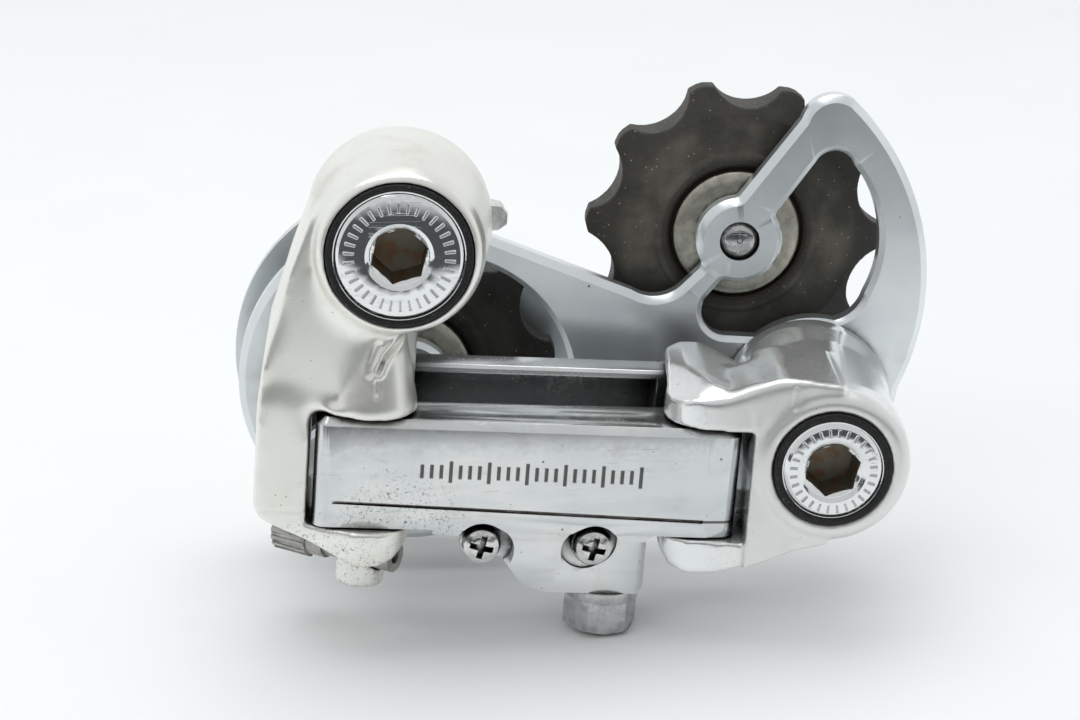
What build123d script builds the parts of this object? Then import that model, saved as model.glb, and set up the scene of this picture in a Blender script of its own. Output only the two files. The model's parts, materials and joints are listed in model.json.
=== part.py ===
from build123d import *
import math
import os

# Rear derailleur with a short cage, at rest: the link body is swung fully outboard and
# the chain cage is wound back against its stop.
# Frame: the origin is on the hanger bolt axis, at the face that seats on the frame hanger.
# +X points from the hanger bolt towards the cage pivot, +Y points inboard, towards the
# wheel, along the bolts, and +Z points up.  Lengths are in millimetres.

# ---------------------------------------------------------------- driving dimensions
BODY_TILT = 4.2            # link body leans nose-down about the bolt direction, degrees
RUNNING = 0.05             # radial clearance of a turning fit
THREAD_GAP = 0.05          # radial clearance left at a threaded fit

HEX_FLATS = 6.0            # socket size of both pivot bolts
HEX_DEPTH = 5.5

HANGER_THREAD_R = 5.0      # M10 x 1
HANGER_THREAD_END = 8.5
B_CAP_R = 7.75
B_CAP_FACE = -20.5
B_SEAL_R = 8.6
B_BARREL_FRONT = -20.0
B_BARREL_BACK = -1.3
B_BARREL_R = 10.6
B_FLARE_R = 11.2
B_SPRING_ROOM = 8.5

P_AXIS = (53.5, -24.25)    # cage pivot in the tilted body frame, across and up
P_CAP_R = 6.15
P_CAP_FACE = -18.5
P_SEAL_R = 7.15
P_BARREL_FRONT = -17.8
P_BARREL_BACK = 8.7
P_BARREL_R = 10.0
P_FLARE_R = 10.8

LINK_SPAN = (40.4, 2.6)    # from a knuckle pin to the cage end pin of the same link
PIN_A = (-2.3, -14.0)      # outer link at the hanger knuckle, across and inboard
PIN_C = (-3.0, -3.6)       # inner link at the hanger knuckle
PIN_B = (PIN_A[0] + LINK_SPAN[0], PIN_A[1] + LINK_SPAN[1])
PIN_D = (PIN_C[0] + LINK_SPAN[0], PIN_C[1] + LINK_SPAN[1])
PIN_R = 1.9

LINK_TOP = -20.9           # outer link, in the body frame
LINK_BOTTOM = -34.6
INNER_TOP = -17.8
INNER_BOTTOM = -34.5
SIDE_GAP = 0.3             # between a link and the ears above and below it
OPEN_PIVOT_GAP = 0.15      # pin clearance at the pivot where the linkage loop is opened
EAR_BOTTOM = -39.3
EAR_NECK = 9.6             # height of the cone above the hanger knuckle's front ear

GUIDE = (43.0, -7.2)       # guide pulley axis
TENSION = (0.8, -25.4)     # tension pulley axis
PLATE_FRONT = 9.0
PLATE_T = 2.6
PULLEY_MID = 16.4
PULLEY_W = 6.6
INNER_PLATE_FRONT = 21.2
INNER_PLATE_T = 1.8

TEETH = 10
TIP_R = 18.6
ROOT_R = 16.2
VALLEY_R = 5.2
GUIDE_PHASE = 67.8         # direction of one tooth, degrees from +X towards +Z
TENSION_PHASE = 5.0
BORE_R = 4.2               # pulley bore, running on its sleeve
CAP_R = 8.1                # pulley dust cap
PULLEY_BOLT_R = 2.5        # M5
GUARD_R = 21.7             # chain guard about the tension pulley
BOSS_R = 5.5               # plate boss at each pulley
EDGE_BEVEL = 0.9
WINDOW_BEVEL = 0.7
STOP_PIN_R = 1.2

PIN_FIT = 0.02             # pins held tight in their knuckle
PIN_FOOT = -39.0
PIN_HEAD_A = -15.0
PIN_HEAD_C = -13.0
PIN_HEAD_B = -18.0
PIN_HEAD_D = -16.5

P_SHANK_R = 5.0
P_THREAD_R = 4.0
P_BUSH_R = 5.8
P_SPRING_ROOM = 8.4

ANCHOR = (30.2, 2.6)       # cable anchor bolt in the outer link's frame
ANCHOR_R = 2.45
ANCHOR_FLATS = 8.0
WASHER_T = 1.3
LUG_BOTTOM = -43.6
SCREW_HIGH = (14.1, -36.8) # limit screws in the outer link's frame, along and up
SCREW_LOW = (27.8, -36.7)
SCREW_HEAD_R = 2.45
SCREW_R = 1.5
NOTCH_R = 3.2
NOTCH_LEAN = 0.8           # each notch is stretched towards the other screw
LINE_HEIGHT = -31.5        # at the hanger end
LINE_LEAN = 1.5            # degrees, down towards the cage end
LINE_DEPTH = 0.35

ADJUSTER_R = 2.0
ADJUSTER_BOSS_R = 3.0
ADJUSTER_BOSS = (-2.4, -8.5)
ADJUSTER_BOSS_BOTTOM = -45.4
ADJUSTER_HEIGHT = -41.1
ADJUSTER_HEAD = (-9.9, -4.2)
ADJUSTER_WAY = (13.55, -7.8)
KNURLS = 16
CABLE_R = 0.9
HOUSING_R = 1.6

# ---------------------------------------------------------------- helpers
TILT = Rot(0, BODY_TILT, 0)


def front_plane(y):
    """Plane across the bolts, seen from outboard with +X right and +Z up."""
    return Plane(origin=(0, y, 0), x_dir=(1, 0, 0), z_dir=(0, -1, 0))


def slab(sketch, y0, y1):
    """A front-view outline made solid from y0 to y1."""
    return extrude(front_plane(y1) * sketch, amount=y1 - y0)


def column(sketch, z0, z1):
    """A plan-view outline made solid from z0 to z1."""
    return extrude(Plane.XY.offset(z0) * sketch, amount=z1 - z0)


def rod(r, y0, y1, at=(0, 0)):
    """A round bar along the bolt direction."""
    return slab(Pos(at[0], at[1]) * Circle(r), y0, y1)


def pin(r, z0, z1, at):
    """A round bar along the link pins."""
    return column(Pos(at[0], at[1]) * Circle(r), z0, z1)


def turned(points, at=(0, 0)):
    """A profile of radius and depth turned about the bolt direction."""
    return Pos(at[0], 0, at[1]) * revolve(make_face(Polyline(*points, close=True)), Axis.Y)


def hull(*discs):
    """The outline stretched round discs given as (x, y, radius)."""
    edges = ShapeList()
    for x, y, r in discs:
        edges += (Pos(x, y) * Circle(r)).edges()
    return make_hull(edges)


def outline(*points):
    return make_face(Polyline(*points, close=True))


def polar(r, degrees, at=(0, 0)):
    a = math.radians(degrees)
    return (at[0] + r * math.cos(a), at[1] + r * math.sin(a))


def coil(mean_r, wire_r, pitch, turns, base):
    """A helical spring about +Z, standing on base."""
    path = Helix(pitch=pitch, height=pitch * turns, radius=mean_r)
    start = Plane(origin=path @ 0, z_dir=path % 0)
    return Pos(0, 0, base) * sweep(start * Circle(wire_r), path=path, is_frenet=True)


def socket_bolt(cap_r, face, cap_t, shank_r, thread_r, shank_end, thread_end, at=(0, 0)):
    """A pivot bolt with a flat domed cap, countersunk hexagon socket and threaded end."""
    body = turned([
        (0, face),
        (cap_r - 0.7, face),
        (cap_r, face + 0.5),
        (cap_r, face + cap_t),
        (shank_r, face + cap_t),
        (shank_r, shank_end),
        (thread_r, shank_end),
        (thread_r, thread_end - 0.8),
        (thread_r - 0.8, thread_end),
        (0, thread_end),
    ], at)
    socket = RegularPolygon(HEX_FLATS / 2, 6, major_radius=False, rotation=20)
    body -= slab(Pos(at[0], at[1]) * socket, face - 0.1, face + HEX_DEPTH)
    sink = turned([(0, face - 0.1), (4.15, face - 0.1), (3.05, face + 0.8), (0, face + 0.8)], at)
    return body - sink


def adjuster_axis():
    """Frame of the cable adjuster: its +Z is the way the cable leaves it."""
    return Location(Plane(
        origin=(ADJUSTER_HEAD[0], ADJUSTER_HEAD[1], ADJUSTER_HEIGHT),
        z_dir=(ADJUSTER_WAY[0], ADJUSTER_WAY[1], 0),
    ))


nodes = {}

# ---------------------------------------------------------------- hanger pivot
hanger_bolt = socket_bolt(
    B_CAP_R, B_CAP_FACE, 2.2, 5.6, HANGER_THREAD_R, 0, HANGER_THREAD_END)
nodes["hanger_bolt"] = hanger_bolt

nodes["hanger_bolt_seal"] = turned([
    (B_CAP_R + 0.02, -20.3),
    (B_SEAL_R, -20.3),
    (B_SEAL_R, -18.4),
    (B_CAP_R + 0.02, -18.4),
])

nodes["hanger_bushing"] = turned([
    (5.6 + RUNNING, -17.9),
    (6.4, -17.9),
    (6.4, -1.5),
    (5.6 + RUNNING, -1.5),
])

nodes["hanger_spring"] = Rot(-90, 0, 0) * coil(7.5, 0.6, 2.1, 5, -14.0)

stop_plate = rod(9.6, -1.2, 0) - rod(5.6 + RUNNING, -1.3, 0.1)
stop_tab = outline((8.6, 1.8), (12.4, 1.5), (13.2, 0.7), (13.2, -0.7), (12.2, -1.5), (8.8, -2.0))
stop_finger = outline((11.0, 1.3), (12.4, 1.1), (12.9, 0.5), (12.9, -0.6), (12.2, -1.3), (11.0, -1.4))
nodes["hanger_stop_plate"] = stop_plate + slab(stop_tab, -1.2, 0) + slab(stop_finger, -1.2, 3.2)

# ---------------------------------------------------------------- hanger knuckle


def b_knuckle():
    barrel = turned([
        (0, B_BARREL_FRONT),
        (9.0, B_BARREL_FRONT),
        (9.6, B_BARREL_FRONT + 0.5),
        (10.1, B_BARREL_FRONT + 2.4),
        (B_BARREL_R, B_BARREL_FRONT + 8),
        (B_FLARE_R, B_BARREL_BACK - 5),
        (B_FLARE_R, B_BARREL_BACK - 1),
        (B_FLARE_R - 0.8, B_BARREL_BACK),
        (0, B_BARREL_BACK),
    ])
    arm = slab(outline(
        (-7.5, 7.0),
        (-10.6, 3.0),
        (-12.6, -3.5),
        (-14.9, -12.5),
        (-15.7, -20.0),
        (-15.7, -32.6),
        (-15.0, -34.2),
        (-13.4, -35.2),
        (-4.0, EAR_BOTTOM + 0.4),
        (-1.0, EAR_BOTTOM),
        (-1.0, -8.0),
    ), -17.5, -1.6)
    ear_front = hull((PIN_A[0], PIN_A[1], 5.6), (-9.0, -12.0, 5.0))
    ear_back = hull((PIN_C[0], PIN_C[1], 3.8), (-9.0, -6.0, 4.6))
    flank = hull((-2.0, -9.5, 4.9), (-9.0, -9.0, 5.0))
    upper = column(ear_front, LINK_TOP, LINK_TOP + 1.4) + column(ear_back, INNER_TOP, -10.5)
    upper += column(flank, LINK_TOP, -9.0)
    upper += Pos(PIN_A[0], PIN_A[1], LINK_TOP + 1.4 + EAR_NECK / 2) * Cone(5.6, 3.5, EAR_NECK)
    lower = column(ear_front, EAR_BOTTOM, -30.0) + column(ear_back, EAR_BOTTOM, -30.0)
    lower &= slab(outline(
        (-15.7, -30.0),
        (-15.7, -32.6),
        (-15.0, -34.2),
        (-13.4, -35.2),
        (-4.6, EAR_BOTTOM + 0.5),
        (-3.0, EAR_BOTTOM),
        (-0.4, EAR_BOTTOM + 0.1),
        (1.4, EAR_BOTTOM + 0.8),
        (2.8, EAR_BOTTOM + 2.4),
        (3.4, EAR_BOTTOM + 4.6),
        (3.4, -30.0),
    ), -20.0, 1.0)
    pad = slab(outline((-15.3, -33.3), (-15.3, -19.3), (-13.5, -18.0), (-9.5, -19.8), (-9.5, -33.3)),
               -17.9, -17.0)
    boss = pin(ADJUSTER_BOSS_R, ADJUSTER_BOSS_BOTTOM, EAR_BOTTOM + 1.0, ADJUSTER_BOSS)
    body = barrel + arm + upper + lower + pad + boss
    # room for the two links between the ears
    wall = -9.3
    body -= Pos(wall + 20, -14.6, (LINK_TOP + LINK_BOTTOM) / 2) * Box(
        40, 12.0, LINK_TOP - LINK_BOTTOM + 2 * SIDE_GAP)
    body -= Pos(wall + 20, 0.4, (INNER_TOP + INNER_BOTTOM) / 2) * Box(
        40, 18.2, INNER_TOP - INNER_BOTTOM + 2 * SIDE_GAP)
    # bolt, bushing, seal and spring room in the barrel
    body -= turned([
        (0, B_BARREL_FRONT - 1),
        (B_SEAL_R + 0.05, B_BARREL_FRONT - 1),
        (B_SEAL_R + 0.05, -18.1),
        (6.4, -18.1),
        (6.4, -15.5),
        (B_SPRING_ROOM, -15.5),
        (B_SPRING_ROOM, B_BARREL_BACK + 1),
        (0, B_BARREL_BACK + 1),
    ])
    body -= pin(PIN_R + PIN_FIT, PIN_FOOT - 1, PIN_HEAD_A, PIN_A)
    body -= pin(PIN_R + PIN_FIT, PIN_FOOT - 1, PIN_HEAD_C, PIN_C)
    body -= adjuster_axis() * Pos(0, 0, -5.8) * Cylinder(3.2, 20.4)
    return body - adjuster_axis() * Cylinder(ADJUSTER_R + THREAD_GAP, 60)


nodes["hanger_knuckle"] = b_knuckle()
nodes["hanger_pin_outer"] = pin(PIN_R, PIN_FOOT, PIN_HEAD_A - 0.2, PIN_A)
nodes["hanger_pin_inner"] = pin(PIN_R, PIN_FOOT, PIN_HEAD_C - 0.2, PIN_C)

# ---------------------------------------------------------------- links
link_length = math.hypot(*LINK_SPAN)
link_yaw = math.degrees(math.atan2(LINK_SPAN[1], LINK_SPAN[0]))


def link_at(point):
    """Frame of a link: x runs from its hanger-end pin to its cage-end pin."""
    return Pos(point[0], point[1]) * Rot(0, 0, link_yaw)


def link_plan(inset):
    """Round behind the pins, with fuller corners in front."""
    return hull(
        (-2.2, 0, 4.2 - inset),
        (-5.0, -2.8, 1.4 - inset),
        (link_length + 0.3, 0, 4.6 - inset),
        (link_length + 2.5, -2.3, 2.0 - inset),
    )


def outer_link():
    plan = link_plan(0)
    body = column(plan, LINK_BOTTOM, LINK_TOP)
    body = chamfer(body.faces().sort_by(Axis.Z)[-1].edges(), 0.9)
    flange = slab(outline(
        (8.0, -33.5),
        (8.0, -35.2),
        (12.0, -35.6),
        (34.0, -35.6),
        (35.0, -34.7),
        (35.0, -33.5),
    ), -4.1, 0.5)
    tongue = slab(outline((17.4, -34), (17.6, -39.4), (24.2, -39.4), (24.4, -34)), -4.0, 0)
    web = slab(outline(
        (11.6, -34.0),
        (11.6, -37.6),
        (17.0, -39.2),
        (19.5, -42.4),
        (22.5, LUG_BOTTOM),
        (34.0, LUG_BOTTOM),
        (34.9, -42.6),
        (34.9, -34.0),
    ), -1.4, 7.2)
    web = fillet(web.edges().filter_by(Axis.Z), 1.5)
    body += flange + tongue + web
    for (x, z), lean in ((SCREW_HIGH, NOTCH_LEAN), (SCREW_LOW, -NOTCH_LEAN)):
        body -= slab(hull((x, z, NOTCH_R), (x + lean, z - 0.4, NOTCH_R)), -6, -1.0)
        body -= rod(SCREW_R + THREAD_GAP, -3, 8, (x, z))
    # open channel behind the face plate
    body -= Pos(link_length / 2, 3.4, (LINK_TOP + LINK_BOTTOM) / 2 + 0.1) * Box(link_length - 9, 10, 9.6)
    # fine line round the front, a little above the lower edge
    line = column(plan, -0.22, 0.22) - column(link_plan(LINE_DEPTH), -1, 1)
    line &= Pos(link_length / 2 + 0.8, -5) * Box(link_length + 10, 10, 1)
    body -= Pos(0, 0, LINE_HEIGHT) * Rot(0, LINE_LEAN, 0) * line
    body -= pin(PIN_R + RUNNING, -50, 0, (0, 0))
    body -= pin(PIN_R + RUNNING, -50, 0, (link_length, 0))
    body -= pin(ANCHOR_R + THREAD_GAP, LUG_BOTTOM - 1, LUG_BOTTOM + 5.2, ANCHOR)
    return body


def inner_link():
    body = column(Pos(link_length / 2, 0) * Rectangle(link_length, 4.4), -33.0, INNER_TOP)
    body = chamfer(body.faces().sort_by(Axis.Z)[-1].edges(), 0.4)
    ends = pin(3.4, INNER_BOTTOM, INNER_TOP, (0, 0)) + pin(3.4, INNER_BOTTOM, INNER_TOP, (link_length, 0))
    body += ends
    body -= pin(4.0, -30.2, -22.4, (link_length, 0))
    # open channel towards the outer link
    channel_top = INNER_TOP - 1.0
    channel = Pos(link_length / 2, -0.9) * Rectangle(link_length - 9, 4.4)
    body -= column(channel, -32.0, channel_top)
    body -= pin(PIN_R + RUNNING, -50, 0, (0, 0))
    return body - pin(PIN_R + OPEN_PIVOT_GAP, -50, 0, (link_length, 0))


nodes["outer_link"] = link_at(PIN_A) * outer_link()
nodes["inner_link"] = link_at(PIN_C) * inner_link()
nodes["link_return_spring"] = Pos(PIN_D[0], PIN_D[1]) * coil(2.9, 0.45, 1.25, 5, -29.5)


def limit_screw(x, z):
    """A round-headed screw with a cross recess, its head facing outboard."""
    head = turned([
        (0, -4.4),
        (1.2, -4.3),
        (2.1, -3.8),
        (SCREW_HEAD_R, -3.0),
        (SCREW_HEAD_R, -1.6),
        (SCREW_R, -1.6),
        (SCREW_R, 6.6),
        (0, 7.2),
    ], (x, z))
    recess = Pos(x, -4.0, z) * (Box(2.9, 1.8, 0.75) + Box(0.75, 1.8, 2.9))
    return head - Pos(x, 0, z) * Rot(0, 12, 0) * Pos(-x, 0, -z) * recess


nodes["limit_screw_high"] = link_at(PIN_A) * limit_screw(*SCREW_HIGH)
nodes["limit_screw_low"] = link_at(PIN_A) * limit_screw(*SCREW_LOW)


def anchor_bolt():
    hexagon = column(RegularPolygon(ANCHOR_FLATS / 2, 6, major_radius=False, rotation=5), -4.4, 0)
    dome = Rot(90, 0, 0) * turned([(0, -4.4), (3.7, -4.4), (5.0, -3.6), (5.0, 0), (0, 0)])
    return (hexagon & dome) + pin(ANCHOR_R, 0, WASHER_T + 4.9, (0, 0))


def clamp_washer():
    disc = pin(4.6, 0, WASHER_T, (0, 0)) - pin(ANCHOR_R + RUNNING, -1, 3, (0, 0))
    return disc - Pos(-3.4, 0, WASHER_T) * Rot(0, 0, 60) * Rot(0, 90, 0) * Cylinder(0.6, 20)


anchor_at = link_at(PIN_A) * Pos(ANCHOR[0], ANCHOR[1], LUG_BOTTOM - WASHER_T)
nodes["cable_anchor_bolt"] = anchor_at * anchor_bolt()
nodes["cable_clamp_washer"] = anchor_at * clamp_washer()

# ---------------------------------------------------------------- cable adjuster


def adjuster():
    """A knurled adjusting barrel, bored for the cable, about its own +Z."""
    body = Pos(0, 0, -0.4) * Cylinder(2.8, 4.8)
    body += Pos(0, 0, 3.0) * Cylinder(2.4, 2.4) + Pos(0, 0, 8.6) * Cylinder(ADJUSTER_R, 10.0)
    for i in range(KNURLS):
        turn = Rot(0, 0, i * 360 / KNURLS)
        body -= turn * Pos(2.95, 0, -0.4) * Box(0.6, 0.5, 6)
    body -= Pos(0, 0, 0) * Cylinder(CABLE_R, 60)
    return body - Pos(0, 0, -3.0) * Cylinder(HOUSING_R, 6.0)


nodes["cable_adjuster"] = adjuster_axis() * adjuster()

# ---------------------------------------------------------------- cage knuckle


def p_knuckle():
    barrel = turned([
        (0, P_BARREL_FRONT),
        (8.3, P_BARREL_FRONT),
        (9.0, P_BARREL_FRONT + 0.4),
        (9.7, P_BARREL_FRONT + 1.6),
        (P_BARREL_R, P_BARREL_FRONT + 4),
        (P_BARREL_R, 2.0),
        (P_FLARE_R, 5.5),
        (P_FLARE_R, P_BARREL_BACK - 0.6),
        (P_FLARE_R - 0.6, P_BARREL_BACK),
        (0, P_BARREL_BACK),
    ], P_AXIS)
    block = slab(outline(
        (54.0, -13.9),
        (46.5, -13.4),
        (43.9, -14.4),
        (43.9, -38.0),
        (46.0, -37.2),
        (50.0, -35.3),
        (54.0, -34.2),
    ), -17.3, -3.0)
    wall = slab(outline((54.0, -18.0), (43.9, -18.0), (43.9, -37.5), (54.0, -34.5)), -4.0, 3.0)
    front_plan = hull((PIN_B[0] + 0.4, PIN_B[1], 5.2), (48.0, -11.8, 5.5))
    saddle_plan = hull((PIN_D[0], PIN_D[1], 3.4), (46.0, -9.5, 3.4), (PIN_B[0], -10.5, 4.6))
    back_plan = hull((PIN_D[0], PIN_D[1], 3.4), (48.0, -1.0, 4.0))
    front_top = slab(outline(
        (32.4, LINK_TOP + SIDE_GAP),
        (32.4, -18.4),
        (33.6, -17.4),
        (35.0, -16.9),
        (38.0, -16.7),
        (40.5, -16.0),
        (43.0, -14.7),
        (46.5, -13.4),
        (50.0, -13.5),
        (50.0, LINK_TOP + SIDE_GAP),
    ), -20, 0)
    saddle_top = slab(outline(
        (33.0, INNER_TOP + SIDE_GAP),
        (33.4, -16.4),
        (34.3, -15.7),
        (36.0, -15.4),
        (38.5, -15.4),
        (41.0, -15.9),
        (44.0, -16.2),
        (50.0, -15.4),
        (50.0, INNER_TOP + SIDE_GAP),
    ), -16, 6)
    low = slab(outline(
        (33.4, LINK_BOTTOM - SIDE_GAP),
        (33.9, -37.0),
        (35.0, -38.6),
        (37.0, EAR_BOTTOM),
        (40.5, -39.1),
        (45.5, -37.4),
        (50.0, -35.3),
        (50.0, LINK_BOTTOM - SIDE_GAP),
    ), -20, 6)
    body = barrel + block + wall
    body += front_top & column(front_plan, -40, 0)
    body += saddle_top & column(saddle_plan, -40, 0)
    # sloping facet at the free end of the saddle
    facet = Location(Plane(origin=(34.3, -3.0, -15.2), z_dir=(-0.42, -0.19, 0.89)))
    body -= facet * Pos(0, -4, 5) * Box(9, 30, 10)
    body += low & column(hull((PIN_B[0], PIN_B[1], 4.9), (48.0, -11.4, 5.5)), -40, 0)
    body += low & column(back_plan, -40, 0)
    body += Pos(P_AXIS[0], 0, P_AXIS[1]) * stop_lug()
    body -= turned([
        (0, P_BARREL_FRONT - 1),
        (P_SEAL_R + 0.05, P_BARREL_FRONT - 1),
        (P_SEAL_R + 0.05, -16.2),
        (P_BUSH_R, -16.2),
        (P_BUSH_R, -13.0),
        (P_SPRING_ROOM, -13.0),
        (P_SPRING_ROOM, P_BARREL_BACK + 1),
        (0, P_BARREL_BACK + 1),
    ], P_AXIS)
    body -= pin(PIN_R + PIN_FIT, PIN_FOOT - 1, PIN_HEAD_B, PIN_B)
    return body - pin(PIN_R + PIN_FIT, PIN_FOOT - 1, PIN_HEAD_D, PIN_D)


def stop_lug():
    """The shoulder under the barrel that the cage's stop pin rests against."""
    wedge = outline(polar(9.5, 276), polar(14.5, 278), polar(14.5, 290.5), polar(9.5, 290.5))
    return slab(wedge, 3.5, P_BARREL_BACK)


nodes["cage_knuckle"] = p_knuckle()
nodes["cage_pin_outer"] = pin(PIN_R, PIN_FOOT, PIN_HEAD_B - 0.2, PIN_B)
nodes["cage_pin_inner"] = pin(PIN_R, PIN_FOOT, PIN_HEAD_D - 0.2, PIN_D)
nodes["cage_pivot_bolt"] = socket_bolt(
    P_CAP_R, P_CAP_FACE, 2.0, P_SHANK_R, P_THREAD_R, PLATE_FRONT - 0.05, PLATE_FRONT + PLATE_T - 0.1, P_AXIS)
nodes["cage_pivot_seal"] = turned([
    (P_CAP_R + 0.02, -18.2),
    (P_SEAL_R, -18.2),
    (P_SEAL_R, -16.4),
    (P_CAP_R + 0.02, -16.4),
], P_AXIS)
nodes["cage_bushing"] = turned([
    (P_SHANK_R + RUNNING, -16.1),
    (P_BUSH_R, -16.1),
    (P_BUSH_R, 8.4),
    (P_SHANK_R + RUNNING, 8.4),
], P_AXIS)
nodes["cage_spring"] = Pos(P_AXIS[0], 0, P_AXIS[1]) * Rot(-90, 0, 0) * coil(7.1, 0.7, 2.6, 7, -11.0)

tilted = dict(nodes)
nodes.clear()

# ---------------------------------------------------------------- chain cage
p_tilt = math.radians(BODY_TILT)
CAGE = (P_AXIS[0] * math.cos(p_tilt) + P_AXIS[1] * math.sin(p_tilt),
        -P_AXIS[0] * math.sin(p_tilt) + P_AXIS[1] * math.cos(p_tilt))


def closed(*edges):
    return make_face(Wire(list(edges)))


def outer_plate_face():
    left_top = polar(GUARD_R, 67, TENSION)
    left_low = polar(GUARD_R, -77, TENSION)
    boss_low = polar(BOSS_R, 216, GUIDE)
    boss_top = polar(BOSS_R, 92, GUIDE)
    face = closed(
        Line(left_top, (29.5, -13.7)),
        ThreePointArc((29.5, -13.7), (33.0, -14.5), (36.0, -12.9)),
        Line((36.0, -12.9), boss_low),
        ThreePointArc(boss_low, polar(BOSS_R, 155, GUIDE), boss_top),
        Line(boss_top, (50.6, 8.4)),
        ThreePointArc((50.6, 8.4), (53.4, 11.3), (57.2, 10.7)),
        ThreePointArc((57.2, 10.7), (67.1, -9.8), (64.1, -27.4)),
        ThreePointArc((64.1, -27.4), (59.4, -36.8), (50.0, -41.0)),
        Line((50.0, -41.0), left_low),
        ThreePointArc(left_low, polar(GUARD_R, 180, TENSION), left_top),
    )
    face = fillet(face.vertices(), 1.0)
    boss_a = polar(BOSS_R, -112, GUIDE)
    boss_b = polar(BOSS_R, 36, GUIDE)
    window = closed(
        Line(boss_b, (52.6, 3.1)),
        ThreePointArc((52.6, 3.1), (55.2, 4.3), (57.4, 2.4)),
        ThreePointArc((57.4, 2.4), (60.9, -6.5), (59.2, -14.6)),
        ThreePointArc((59.2, -14.6), (57.8, -16.9), (55.5, -18.1)),
        ThreePointArc((55.5, -18.1), (50.6, -17.9), (45.6, -20.2)),
        Line((45.6, -20.2), (41.4, -19.9)),
        ThreePointArc((41.4, -19.9), (38.5, -17.6), (38.9, -14.7)),
        Line((38.9, -14.7), boss_a),
        ThreePointArc(boss_a, polar(BOSS_R, -35, GUIDE), boss_b),
    )
    window = fillet(window.vertices(), 0.8)
    return face - window - tension_window(GUARD_R - 4.2, 3.4)


def tension_window(r, stretch):
    """The openings beside the tension pulley's boss, left by two arms."""
    opening = hull((TENSION[0], TENSION[1], r), (TENSION[0] + stretch, TENSION[1] - 0.8, r))
    opening -= Pos(*TENSION) * Circle(BOSS_R)
    for angle in (-38, 218):
        arm = Pos(*TENSION) * Rot(0, 0, angle) * Pos(14, 0) * Rectangle(28, 5.0)
        opening -= arm
    return opening


def outer_plate():
    body = slab(outer_plate_face(), PLATE_FRONT, PLATE_FRONT + PLATE_T)
    windows = ShapeList()
    for wire in body.faces().sort_by(Axis.Y)[0].inner_wires():
        windows += wire.edges()
    body = chamfer(windows, WINDOW_BEVEL)
    body = chamfer(body.faces().sort_by(Axis.Y)[0].outer_wire().edges(), EDGE_BEVEL)
    for x, z in (GUIDE, TENSION):
        body -= rod(PULLEY_BOLT_R + THREAD_GAP, 0, 40, (x, z))
    body -= rod(P_THREAD_R + THREAD_GAP, 0, 40, CAGE)
    return body - rod(STOP_PIN_R + 0.02, 0, 40, stop_pin_at)


def inner_plate():
    guard = Pos(*TENSION) * Circle(GUARD_R + 1.0)
    guard -= outline((-6.0, 6.0), (6.0, -9.5), (14.0, -15.5), (40.0, -15.5), (40.0, 6.0))
    face = hull((GUIDE[0], GUIDE[1], 6.0), (34.0, -24.5, 5.0)) + guard
    face += hull((34.0, -24.5, 5.0), (14.0, -25.5, 6.0), (12.0, -33.0, 6.0))
    face -= tension_window(GUARD_R - 3.6, 0.0) & outline((-40, -8), (4, -8), (10, -24), (10, -50), (-40, -50))
    body = slab(face, INNER_PLATE_FRONT, INNER_PLATE_FRONT + INNER_PLATE_T)
    for x, z in (GUIDE, TENSION):
        body -= rod(PULLEY_BOLT_R + RUNNING, 0, 40, (x, z))
    return body


stop_pin_at = polar(13.0, -62, CAGE)
nodes["outer_cage_plate"] = outer_plate()
nodes["inner_cage_plate"] = inner_plate()
nodes["cage_stop_pin"] = rod(STOP_PIN_R, 5.2, PLATE_FRONT + PLATE_T, stop_pin_at)

# ---------------------------------------------------------------- pulleys


def pulley(at, phase):
    blank = RegularPolygon(TIP_R - 0.2, TEETH, major_radius=False)
    blank = Rot(0, 0, phase) * blank
    for i in range(TEETH):
        x, z = polar(ROOT_R + VALLEY_R, phase + (i + 0.5) * 360 / TEETH)
        blank -= Pos(x, z) * Circle(VALLEY_R)
    half = PULLEY_W / 2
    wheel = slab(Pos(*at) * blank, PULLEY_MID - half, PULLEY_MID + half)
    wheel &= turned([
        (0, PULLEY_MID - half),
        (15.4, PULLEY_MID - half),
        (TIP_R + 0.6, PULLEY_MID - 1.3),
        (TIP_R + 0.6, PULLEY_MID + 1.3),
        (15.4, PULLEY_MID + half),
        (0, PULLEY_MID + half),
    ], at)
    for face, way in ((PULLEY_MID - half, 1), (PULLEY_MID + half, -1)):
        wheel -= turned([
            (0, face - way),
            (8.6, face - way),
            (8.6, face + 1.1 * way),
            (0, face + 1.1 * way),
        ], at)
        wheel += turned([
            (9.0, face + 0.5 * way),
            (9.0, face - 0.35 * way),
            (10.3, face - 0.35 * way),
            (10.9, face + 0.5 * way),
        ], at)
    return wheel - rod(BORE_R + RUNNING, 0, 40, at)


def dust_cap(at, way):
    """A dished steel disc; way is -1 for the outboard one and +1 for the inboard one."""
    def depth(from_middle):
        return PULLEY_MID + way * from_middle
    return turned([
        (PULLEY_BOLT_R + RUNNING, depth(4.75)),
        (4.6, depth(4.75)),
        (5.2, depth(4.2)),
        (7.6, depth(3.9)),
        (CAP_R, depth(3.5)),
        (CAP_R, depth(2.7)),
        (CAP_R - 0.5, depth(2.7)),
        (CAP_R - 0.7, depth(3.3)),
        (5.0, depth(3.65)),
        (PULLEY_BOLT_R + RUNNING, depth(3.75)),
    ], at)


def pulley_bolt(at):
    plate_back = INNER_PLATE_FRONT + INNER_PLATE_T
    shank = turned([
        (0, PLATE_FRONT - 0.1),
        (1.7, PLATE_FRONT + 0.1),
        (PULLEY_BOLT_R, PLATE_FRONT + 0.7),
        (PULLEY_BOLT_R, plate_back + 0.1),
        (0, plate_back + 0.1),
    ], at)
    head = Pos(*at) * RegularPolygon(4.0, 6, major_radius=False, rotation=15)
    return shank + slab(head, plate_back + 0.05, plate_back + 3.0)


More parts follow.
